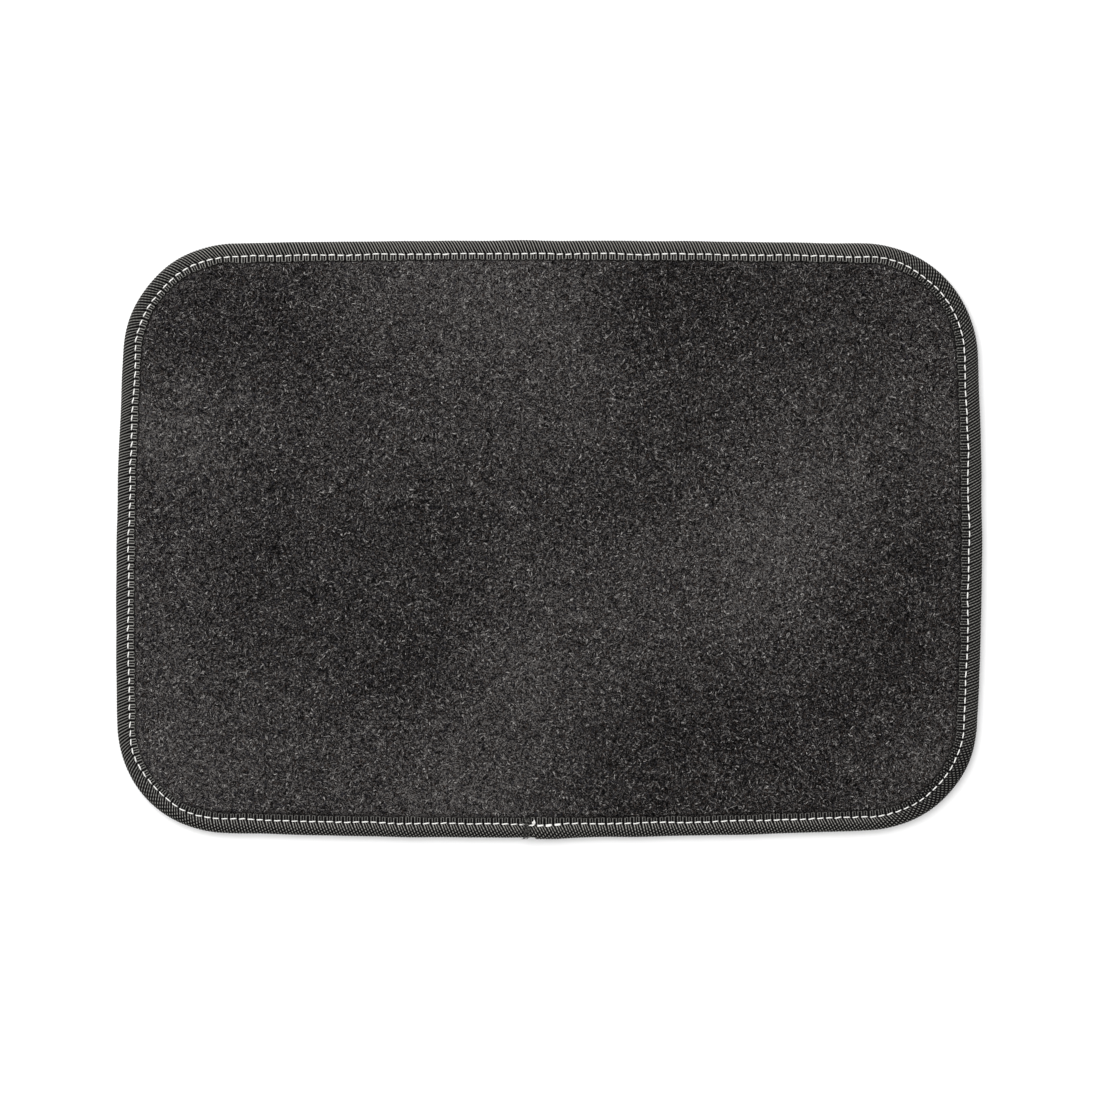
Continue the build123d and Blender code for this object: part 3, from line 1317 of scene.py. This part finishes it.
    def _under_leaf(self, along: Array) -> tuple[Array, Array, Array, Array]:
        """The same for the leaf under the mat, from the nose in to its selvage.

        Args:
            along: each column's place on the seam.

        Returns:
            What leaf gives, with no share of an inner strip.
        """
        seam, angle = self.seam_at(along)
        cover = self.cover.at(angle) - 0.3
        roll = (seam - self.nose)[:, None]
        start = roll + self.nose * math.pi
        steps = [self.nose + roll * share for share in (0.0, 0.35, 0.7, 0.88)]
        steps += [seam[:, None] + offset for offset in (0.0, 0.4, 1.0)]
        steps += [cover[:, None] - 0.7, cover[:, None]]
        inset = np.concatenate(np.broadcast_arrays(*steps), 1)
        height = np.broadcast_to(UNDER_HEIGHTS, inset.shape)
        return inset, height, start + inset - self.nose, np.zeros(inset.shape)

    def _skewed(self, along: Array, out: Array, share: Array) -> Array:
        """Leans the ribs outside the seam and bunches them between the needle holes.

        Args:
            along: each column's place on the seam.
            out: each point's distance out from the seam.
            share: each point's share of the inner strip.

        Returns:
            Each point's own place along the edge.
        """
        angle = self.outline.facing(along)[1]
        degrees = self.lean.at(angle) + self.corner_lean * np.abs(np.sin(2 * angle))
        lean = np.radians(degrees + self.lean_wander.at(along, self.outline.length))
        drawn = np.where(share > 0, 0.9, near(out, self.bunch_reach))
        bunched = self.bunch * np.sin(TURN * along / self.pitch)[:, None] * drawn
        return along[:, None] + np.tan(lean)[:, None] * np.maximum(out, 0) + bunched

    def _count(self, columns: Array) -> Array:
        """The rib count at each column, whole on a rib; needle holes fall midway between ribs."""
        return (columns / self.columns_per_rib + 0.5)[:, None]

    def _ribs(self, columns: Array, along: Array, out: Array, share: Array) -> Array:
        """Raises the ribs, less where the thread presses them.

        Args:
            columns: each column's number.
            along: each column's place on the seam.
            out: each point's distance out from the seam.
            share: each point's share of the inner strip.

        Returns:
            How far the weave stands out from the tape's middle surface at each point.
        """
        count = self._count(columns)
        ridge = (0.5 + 0.5 * np.cos(TURN * count)) ** 0.8
        turned = np.maximum(np.sin(math.pi * count), 0) * smoothstep(share, 0.8, 1.0)
        ridge = np.maximum(ridge, turned)
        pressed = 1 - self.pressed * near(out, 0.5)
        held = np.where(share > 0, 1 - 0.5 * share, 1.0)
        pulled = 1 - self.pulled * self.hole(along, 0.55)[:, None] * held * near(out, 3.0)
        return self.rib_height * (ridge - 0.5) * pressed * pulled

    def _strip(self, name: str, leaf: tuple[Array, ...], columns: Array, along: Array) -> Piece:
        """Builds one leaf of the tape as a closed, ribbed strip.

        Args:
            name: the piece's name.
            leaf: the outer surface in section, for each column.
            columns: each column's number.
            along: each column's place on the seam.

        Returns:
            The strip, with a plain inner surface and closed ends.
        """
        rng = np.random.default_rng(self.seed)
        inset, height, out, share = leaf
        fall, run = np.gradient(height, axis=1), np.gradient(inset, axis=1)
        size = np.hypot(fall, run)
        normal_in, normal_up = fall / size, -run / size
        dip = self.hole(along, 0.75)[:, None] * self.hole_dip
        dip = dip * np.where(share > 0, 1 - 0.65 * share, near(out, 0.9))
        stand = self.lap(along)[:, None] * smoothstep(height, 0.0, self.nose)
        wander = self.outline_wander.at(along, self.outline.length)[:, None] * np.clip(out / 4.0, 0, 1)
        dip = np.where(height > self.valley - 0.1, dip, 0.0)
        stand = stand + self._ribs(columns, along, out, share) - dip
        scallop = self.scallop * np.sin(math.pi * self._count(columns)) * (share >= 1)
        high = np.maximum(height + normal_up * stand, 0.0)
        inwards = inset + normal_in * stand + wander + scallop
        placed = self._skewed(along, out, share)
        ragged = rng.uniform(-self.ragged, self.ragged, placed.shape[1])
        near_cut = np.clip(1 - np.arange(len(along)) / 5.0, 0, 1)[:, None]
        placed = placed + ragged * near_cut
        inner_rows = np.linspace(placed.shape[1] - 1, 0, 5).round().astype(int)
        drop = self.thickness - self.lap(along)[:, None] * smoothstep(height, 0.0, self.nose)
        inner_high = (height - normal_up * drop)[:, inner_rows]
        inner_in = (inset - normal_in * drop + wander)[:, inner_rows]
        pairs = (
            (inwards, inner_in),
            (high, inner_high),
            (placed, placed[:, inner_rows]),
            (out, out[:, inner_rows]),
            (share, np.zeros(inner_in.shape)),
        )
        inwards, high, placed, across, strip = (np.concatenate(pair, axis=1) for pair in pairs)
        x, y, angle = self.outline.place(placed, inwards)
        points = np.stack((x, y, high), axis=-1).reshape(-1, 3)
        faces = [group[:, ::-1] for group in tube_faces(*placed.shape)]
        counts = np.broadcast_to(self._count(columns), placed.shape)
        weave = np.stack((counts, across), axis=-1).reshape(-1, 2)
        # Painted light and shade: the ribs are brighter or darker by side, and darker at the front right
        # corner.
        by_corner = 1 - self.dark_corner * self._front_right(angle) ** 8
        by_side = np.where(strip > 0, self.strip_shade.at(angle), self.roll_shade.at(angle) * by_corner)
        numbers = {
            DOTTED: self._dotted(angle, across),
            SHADED: self._shaded(placed, across) * by_side,
            SELVAGE: strip,
        }
        return Piece(name, points, faces, weave, numbers)

    def _dotted(self, angle: Array, across: Array) -> Array:
        """Spreads the beads: most at the corners, and on the front's nose.

        Args:
            angle: the angle that the edge faces at each point.
            across: each point's distance out from the seam.

        Returns:
            How far the black warp shows over the ribs.
        """
        front = np.maximum(-np.sin(angle), 0) ** 2 * smoothstep(across, 1.0, 4.5)
        corner = np.abs(np.sin(2 * angle)) * (0.75 + 0.25 * np.cos(angle - 0.4))
        beads = self.beads.at(angle) + 0.6 * corner + 0.75 * front + 0.3 * self._front_right(angle) ** 4
        return np.clip(beads, 0, 1)

    @staticmethod
    def _front_right(angle: Array) -> Array:
        """How nearly the edge faces the front right: 1 there, and 0 from a quarter turn away."""
        return np.maximum(np.cos(angle + math.pi / 4), 0)

    def _shaded(self, along: Array, across: Array) -> Array:
        """Darkens the ribs with painted shade by the needle holes, and at the singed cut end.

        Args:
            along: each point's place on the seam.
            across: each point's distance out from the seam.

        Returns:
            How brightly the ribs stand out, up to 1.
        """
        by_hole = self.hole(along, 0.7) * near(across, 1.3)
        half = self.outline.length / 2
        ragged = 0.8 * np.sin(1.9 * across + 0.6) + 0.5 * np.sin(4.3 * across)
        past_cut = (along + half) % (2 * half) - half + ragged
        singed = near(past_cut, np.where(past_cut > 0, *self.singed))
        return (1 - self.hole_shade * by_hole) * (1 - self.singed_shade * singed)

    def build(self) -> list[Piece]:
        """Makes the tape.

        Returns:
            The leaf on the face, with the nose, and the leaf under the mat.
        """
        ribs = self.stitches * self.ribs_per_stitch
        step = self.outline.length / ribs / self.columns_per_rib
        columns = np.arange(ribs * self.columns_per_rib + round(self.under_lap / step))
        along = columns * step
        face = self._strip("edge_binding_face", self.leaf(along), columns, along)
        under = self._strip("edge_binding_under", self._under_leaf(along), columns, along)
        return [face, under]


@dataclass
class Yarn:
    """Twisted yarn, laid along paths on the mat's edge.

    Attributes:
        outline: the mat's outer line.
        sides: points round the yarn.
        plies: how many plies are twisted together.
        twist: the length after which the plies repeat.
    """

    outline: Outline
    sides: int = 12
    plies: int = 3
    twist: float = 1.7

    def laid(self, name: str, along: Array, inset: Array, height: Array, radius: Array) -> Piece:
        """Makes one closed tube along each of many short paths.

        Args:
            name: the piece's name.
            along: place on the seam, for each path and each ring of its tube.
            inset: the same, in from the outer line.
            height: the same, above the desk.
            radius: the tube's radius there.

        Returns:
            The tubes as one piece, which carries the turn of its plies.
        """
        along, inset, height, radius = np.broadcast_arrays(along, inset, height, radius)
        x, y, _ = self.outline.place(along, inset)
        path = np.stack((x, y, height), axis=-1)
        ahead = np.gradient(path, axis=1)
        ahead /= np.linalg.norm(ahead, axis=-1, keepdims=True)
        beside = np.cross(ahead, (0.0, 0.0, 1.0))
        beside /= np.linalg.norm(beside, axis=-1, keepdims=True)
        above = np.cross(beside, ahead)
        steps = np.linalg.norm(np.diff(path, axis=1, prepend=path[:, :1]), axis=-1)
        run = np.cumsum(steps, axis=1)[..., None]
        turn = np.arange(self.sides) * TURN / self.sides
        ply = self.plies * turn - TURN * run / self.twist
        reach = radius[..., None] * (0.9 + 0.12 * np.cos(ply))
        level, steep = np.cos(turn)[:, None], np.sin(turn)[:, None]
        ring = beside[..., None, :] * level + above[..., None, :] * steep
        points = path[..., None, :] + ring * reach[..., None]
        weave = np.stack((ply / TURN, np.broadcast_to(run, ply.shape)), axis=-1)
        number, rings = path.shape[:2]
        faces = tube_faces(rings, self.sides, np.arange(number) * rings * self.sides)
        return Piece(name, points.reshape(-1, 3), faces, weave.reshape(-1, 2))


@dataclass
class Seam:
    """The lockstitch seam, one twisted run of thread from each needle hole to the next.

    Attributes:
        binding: the tape that it holds.
        radius, bobbin_radius: the two threads' radii.
        rings: rings of points in each stitch.
        slant: how far stitches slant across the seam, by side.
        uneven: how far single stitches differ from that, and bow.
        gap: the least and most that a stitch leaves free at a hole, as a share of the pitch.
        fatness: how much stitches differ in thickness.
        arch: the least and most height of a stitch over its holes.
        sunk: how deep its ends are pulled into the holes.
        sewn_twice: the numbers of the stitches sewn over at the seam's end.
        beside, above: how far the second stitch lies from the first.
        seed: the seed of their differences.
    """

    binding: EdgeBinding
    radius: float = 0.32
    bobbin_radius: float = 0.22
    rings: int = 15
    slant: BySide = BySide(0.12, 0.0, 0.03, -0.24)
    uneven: float = 0.07
    gap: tuple[float, float] = (0.12, 0.18)
    fatness: float = 0.06
    arch: tuple[float, float] = (0.78, 0.92)
    sunk: float = 0.5
    sewn_twice: tuple[int, ...] = (1, 2, 3)
    beside: float = 0.45
    above: float = 0.12
    seed: int = 21

    def upper(self) -> Piece:
        """Lays the needle thread on the face, with the first stitches sewn over twice.

        Returns:
            One short tube for each stitch.
        """
        binding = self.binding
        rng = np.random.default_rng(self.seed)
        numbers = np.concatenate((np.arange(binding.stitches), self.sewn_twice))[:, None]
        second = np.where(np.arange(len(numbers)) >= binding.stitches, 1.0, 0.0)[:, None]
        one_each = numbers.shape
        share = np.linspace(0, 1, self.rings)[None]
        gap = rng.uniform(*self.gap, (len(numbers), 2))
        along = (numbers + gap[:, :1] + (1 - gap.sum(1, keepdims=True)) * share) * binding.pitch
        seam, angle = binding.seam_at(along)
        lean = self.slant.at(angle) + rng.normal(0.0, self.uneven, one_each)
        bow = rng.normal(0.0, self.uneven, one_each)
        inset = seam + lean * (2 * share - 1) + bow * np.sin(math.pi * share) - self.beside * second
        fat = self.radius * rng.normal(1.0, self.fatness, one_each) * (1 + 0.05 * second)
        arch = 1 - np.abs(2 * share - 1) ** 7
        rise = arch * rng.uniform(*self.arch, one_each) - self.sunk + self.above * second
        height = binding.valley + rise + binding.lap(along)
        thick = fat * (0.8 + 0.2 * np.sin(math.pi * share) ** 0.5)
        return Yarn(binding.outline).laid("needle_thread_stitches", along, inset, height, thick)

    def lower(self) -> Piece:
        """Lays the bobbin thread under the mat, sunk in the tape.

        Returns:
            One short tube for each stitch.
        """
        binding = self.binding
        rng = np.random.default_rng(self.seed + 1)
        share = np.linspace(0, 1, self.rings)[None]
        along = (np.arange(binding.stitches)[:, None] + 0.08 + 0.84 * share) * binding.pitch
        seam, _ = binding.seam_at(along)
        inset = seam + 0.08 * rng.normal(1.0, 0.5, (binding.stitches, 1)) * (1 - 2 * share)
        height = 0.7 - 0.42 * (1 - np.abs(2 * share - 1) ** 5)
        yarn = Yarn(binding.outline)
        return yarn.laid("bobbin_thread_stitches", along, inset, height, np.array(self.bobbin_radius))


@dataclass
class ThreadTail:
    """The end of the needle thread: it leaves the first hole, is knotted, and curls up and inwards.

    Attributes:
        binding: the tape that it lies on.
        radius: the thread's radius.
        samples: rings of points along it.
        knot_at, knot_length, knot_bulge: the knot's place and length as shares, and its bulge.
    """

    binding: EdgeBinding
    radius: float = 0.3
    samples: int = 90
    knot_at: float = 0.62
    knot_length: float = 0.1
    knot_bulge: float = 0.07

    def build(self) -> Piece:
        """Makes the tail.

        Returns:
            One twisted tube whose middle is wound into a small knot.
        """
        share = np.linspace(0, 1, self.samples)
        seam, _ = self.binding.seam_at(np.zeros(1))
        path = self._path(share)
        knot = self.knot_bulge * near(share - self.knot_at, self.knot_length)
        thick = self.radius * (1 - 0.25 * smoothstep(share, 0.9, 1.0)) + knot
        height = self.binding.valley + self.binding.lap(path[:, 0]) + path[:, 2] - 0.1
        yarn = Yarn(self.binding.outline, sides=10)
        lines = (line[None] for line in (path[:, 0], seam + path[:, 1], height, thick))
        return yarn.laid("thread_tail_knot", *lines)

    @staticmethod
    def _path(share: Array) -> Array:
        """The tail's route, smooth through its points.

        Args:
            share: places on it, from 0 to 1.

        Returns:
            Distance past the cut end, in from the seam, and above the valley.
        """
        route = np.array(
            (
                (0.6, 0.1, -0.2),
                (1.4, -0.1, 0.35),
                (2.6, 0.0, 0.5),
                (3.3, 0.5, 0.75),
                (3.7, 1.2, 1.0),
                (3.2, 1.7, 1.35),
                (2.7, 1.3, 1.2),
                (3.1, 0.8, 0.95),
                (3.7, 1.3, 1.15),
                (3.5, 2.0, 1.2),
                (3.3, 2.6, 1.0),
            )
        )
        spot = np.clip(share * (len(route) - 1), 0, len(route) - 1 - 1e-9)
        i = spot.astype(int)
        u = (spot - i)[:, None]
        padded = np.concatenate((route[:1], route, route[-1:]))
        before, here, after, beyond = (padded[i + k] for k in range(4))
        square = 2 * before - 5 * here + 4 * after - beyond
        cube = 3 * (here - after) + beyond - before
        return here + 0.5 * u * (after - before + u * (square + u * cube))


@dataclass
class FrayedEnd:
    """The tape's cut end on the face: warp ends that have come loose and fan out over the join.

    Attributes:
        binding: the tape that they come from.
        ends: how many there are.
        rings: rings of points in each.
        length, radius: an end's usual size.
        length_spread, radius_spread: how much ends differ in size.
        reach: the least and most inset at which they leave the tape.
        past_cut: the least and most distance that they start past the cut.
        sideways: the mean and spread of how far they fan out, as a share of their length.
        curl: how far they curl.
        highest: the most that one stands up.
        outermost: how far out of the mat's outline one may lie, below 0.
        seed: the seed of their differences.
    """

    binding: EdgeBinding
    ends: int = 120
    rings: int = 7
    length: float = 1.9
    radius: float = 0.12
    length_spread: float = 0.35
    radius_spread: float = 0.3
    reach: tuple[float, float] = (0.2, 8.6)
    past_cut: tuple[float, float] = (-0.2, 2.0)
    sideways: tuple[float, float] = (-0.1, 0.5)
    curl: float = 0.25
    highest: float = 0.5
    outermost: float = -0.45
    seed: int = 31

    def build(self) -> Piece:
        """Makes the loose warp ends.

        Returns:
            One thin tube for each.
        """
        binding = self.binding
        rng = np.random.default_rng(self.seed)
        share = np.linspace(0, 1, self.rings)[None]
        one_each = (self.ends, 1)
        start = rng.uniform(*self.reach, one_each)
        length = self.length * rng.lognormal(0.0, self.length_spread, one_each)
        sideways = rng.normal(*self.sideways, one_each)
        curl = rng.normal(0.0, self.curl, one_each)
        along = rng.uniform(*self.past_cut, one_each) - length * share
        inset = start + length * (sideways * share + curl * share**2)
        inset = np.maximum(inset, self.outermost)
        rows = len(STRIP_ROWS) + len(ROLL_ROWS)
        inset_line, height_line = (line[0][:rows] for line in binding.leaf(np.zeros(1))[:2])
        surface = np.interp(inset, inset_line[::-1], height_line[::-1])
        lap = binding.lap_lift * (1 - smoothstep(-along, -0.4, 1.2))
        arch = rng.uniform(0.0, self.highest, one_each) * np.sin(math.pi * share)
        thick = self.radius * rng.lognormal(0.0, self.radius_spread, one_each) * (1 - 0.6 * share**2)
        yarn = Yarn(binding.outline, sides=6, plies=2, twist=1.2)
        return yarn.laid("edge_binding_fray", along, inset, surface + lap + arch + 0.05, thick)


# ------------------------------------------------------------------------------ the backing


@dataclass
class GripBacking:
    """The rubber under the felt: a thin slab with rows of small round nibs that grip the desk.

    Attributes:
        outline: the mat's outer line.
        top: the slab's upper height.
        nib_height, nib_radius, nib_pitch, nib_sides: the nibs' sizes.
        nibs_from: how far in the nibs start.
        around: points round the slab's edge.
    """

    outline: Outline
    top: float
    nib_height: float = 0.5
    nib_radius: float = 1.1
    nib_pitch: float = 6.0
    nib_sides: int = 8
    nibs_from: float = 12.5
    around: int = 360

    def build(self) -> Piece:
        """Makes the slab and its nibs.

        Returns:
            Both as one piece.
        """
        section = ((2.9, self.top), (2.7, 1.2), (2.9, 0.8), (9.5, 0.8), (10.3, self.nib_height))
        along = np.linspace(0, self.outline.length, self.around, endpoint=False)
        rings = []
        for inset, height in section:
            x, y, _ = self.outline.place(along, np.full(self.around, inset))
            rings.append(np.stack((x, y, np.full(self.around, height)), axis=1))
        slab = np.concatenate(rings)
        nibs, faces = self._nibs(len(slab))
        faces = tube_faces(len(section), self.around) + faces
        return Piece("grip_backing_sheet", np.concatenate((slab, nibs)), faces)

    def _nibs(self, start: int) -> tuple[Array, list[Array]]:
        """Makes the nibs as low domes.

        Args:
            start: the number of their first point.

        Returns:
            Their points and faces.
        """
        row_gap = self.nib_pitch * math.sqrt(3) / 2
        rows = np.arange(self.outline.front, self.outline.back, row_gap)
        centres = np.array(
            [
                (x + (i % 2) * self.nib_pitch / 2, y)
                for i, y in enumerate(rows)
                for x in np.arange(-self.outline.half_length, self.outline.half_length, self.nib_pitch)
            ]
        )
        inset, _ = self.outline.inset_of(centres[:, 0], centres[:, 1])
        centres = centres[inset > self.nibs_from]
        turn = np.arange(self.nib_sides) * TURN / self.nib_sides
        dome = ((1.0, self.nib_height + 0.1), (0.95, 0.22), (0.62, 0.02), (0.2, 0.0))
        rings = []
        for share, height in dome:
            radius = share * self.nib_radius
            x, y = radius * np.cos(turn), radius * np.sin(turn)
            rings.append(np.stack((x, y, np.full(self.nib_sides, height)), axis=1))
        shape = np.concatenate(rings)
        points = (np.pad(centres, ((0, 0), (0, 1)))[:, None] + shape[None]).reshape(-1, 3)
        firsts = start + np.arange(len(centres)) * len(shape)
        return points, tube_faces(len(dome), self.nib_sides, firsts)


# ------------------------------------------------------------------------------- the studio


@dataclass(frozen=True)
class SoftLight:
    """A square soft light that points at the mat, with its side and place in millimetres."""

    name: str
    watts: float
    size: float
    place: tuple[float, float, float]

    def build(self) -> None:
        """Hangs the light."""
        data = bpy.data.lights.new(self.name, "AREA")
        data.energy = self.watts
        data.size = self.size * MM
        made = bpy.data.objects.new(self.name, data)
        made.location = Vector(self.place) * MM
        made.rotation_euler = (-made.location).to_track_quat("-Z", "Y").to_euler()
        bpy.context.scene.collection.objects.link(made)


@dataclass
class Studio:
    """A white table under soft light from the back left, seen from straight above.

    Attributes:
        aim: the point of the desk under the camera.
        field_of_view: the width of desk that the camera sees.
        camera_height: its height above the desk.
        sensor: its sensor's width.
        floor_size: the table's side.
        sky: the strength of the white surroundings.
        lights: the soft lights.
    """

    aim: tuple[float, float] = (0.47, -4.7)
    field_of_view: float = 515.0
    camera_height: float = 2200.0
    sensor: float = 36.0
    floor_size: float = 9000.0
    sky: float = 1.06
    lights: tuple[SoftLight, ...] = (
        SoftLight("key", 42.0, 2200.0, (-1200.0, 1500.0, 1900.0)),
        SoftLight("window", 42.0, 1600.0, (-2000.0, 2500.0, 1300.0)),
    )

    def camera(self) -> None:
        """Hangs the camera over the mat."""
        data = bpy.data.cameras.new("camera")
        data.sensor_width = self.sensor
        data.lens = self.sensor * self.camera_height / self.field_of_view
        made = bpy.data.objects.new("camera", data)
        made.location = Vector((*self.aim, self.camera_height)) * MM
        bpy.context.scene.collection.objects.link(made)
        bpy.context.scene.camera = made

    def floor(self) -> None:
        """Lays the white table."""
        half = self.floor_size / 2 * MM
        mesh = bpy.data.meshes.new("floor")
        corners = [(-half, -half, 0), (half, -half, 0), (half, half, 0), (-half, half, 0)]
        mesh.from_pydata(corners, [], [(0, 1, 2, 3)])
        mesh.materials.append(FloorFinish().material())
        made = bpy.data.objects.new("floor", mesh)
        bpy.context.scene.collection.objects.link(made)

    def surroundings(self) -> None:
        """Sets the even white surroundings."""
        world = bpy.data.worlds.new("surroundings")
        world.use_nodes = True
        background = world.node_tree.nodes["Background"]
        background.inputs["Color"].default_value = (1.0, 1.0, 1.0, 1.0)
        background.inputs["Strength"].default_value = self.sky
        bpy.context.scene.world = world

    def build(self) -> None:
        """Sets up the whole studio."""
        self.camera()
        self.floor()
        self.surroundings()
        for light in self.lights:
            light.build()
        bpy.context.scene.view_settings.view_transform = "Standard"


# ---------------------------------------------------------------------------------- the mat


def main() -> None:
    """Builds the studio and the mat, from the felt outwards."""
    logging.basicConfig(level=logging.INFO, format="%(name)s %(message)s")
    Studio().build()
    low, high = (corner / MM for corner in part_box("edge_binding"))
    felt_low, felt_high = (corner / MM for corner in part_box("felt_face"))
    outline = Outline(high.x, low.y + EdgeBinding.lap_lift, high.y)
    cover = BySide(9.2, 9.6, 8.9, 8.4)

    felt = FeltFace(outline, cover, felt_high.z, felt_low.z)
    body = felt.build().make(FeltFinish().material(), "felt", "felt_face")
    nap = []
    for shade in FibreShade:
        finish = FibreFinish(shade).material()
        for part in range(1, shade.value.pieces + 1):
            fibres = FibreNap(felt, shade, seed=40 + len(nap)).build(f"felt_nap_{shade.value.word}_{part}")
            nap.append(fibres.make(finish, "felt", "felt_face"))
    hair_finish = FibreFinish(FibreShade.COOL).material()
    hairs = FibreNap(felt, FibreShade.COOL, seed=60, fibres=3500, length=4.2, width=0.08, rise=0.75)
    nap.append(hairs.build("felt_stray_hairs").make(hair_finish, "felt", "felt_face"))

    binding = EdgeBinding(outline, cover)
    tape_material = TapeFinish().material()
    face, under = (piece.make(tape_material, "binding", "edge_binding") for piece in binding.build())

    fray = FrayedEnd(binding).build().make(LooseYarnFinish().material(), "binding", "edge_binding")

    seam = Seam(binding)
    thread_material = ThreadFinish().material()
    upper = seam.upper().make(thread_material, "thread", "needle_thread")
    lower = seam.lower().make(thread_material, "bobbin", "bobbin_thread")
    tail = ThreadTail(binding).build().make(thread_material, "thread", "thread_tail")

    backing = GripBacking(outline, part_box("grip_backing")[1].z / MM).build()
    grip = backing.make(RubberFinish().material(), "backing", "grip_backing")
    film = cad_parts["bond_film"]
    film.data.materials.clear()
    film.data.materials.append(FilmFinish().material())

    leaf_size = (FACE_LEAF_WIDTH, (outline.length + binding.lap_length) * MM)


if __name__ == "__main__":
    main()
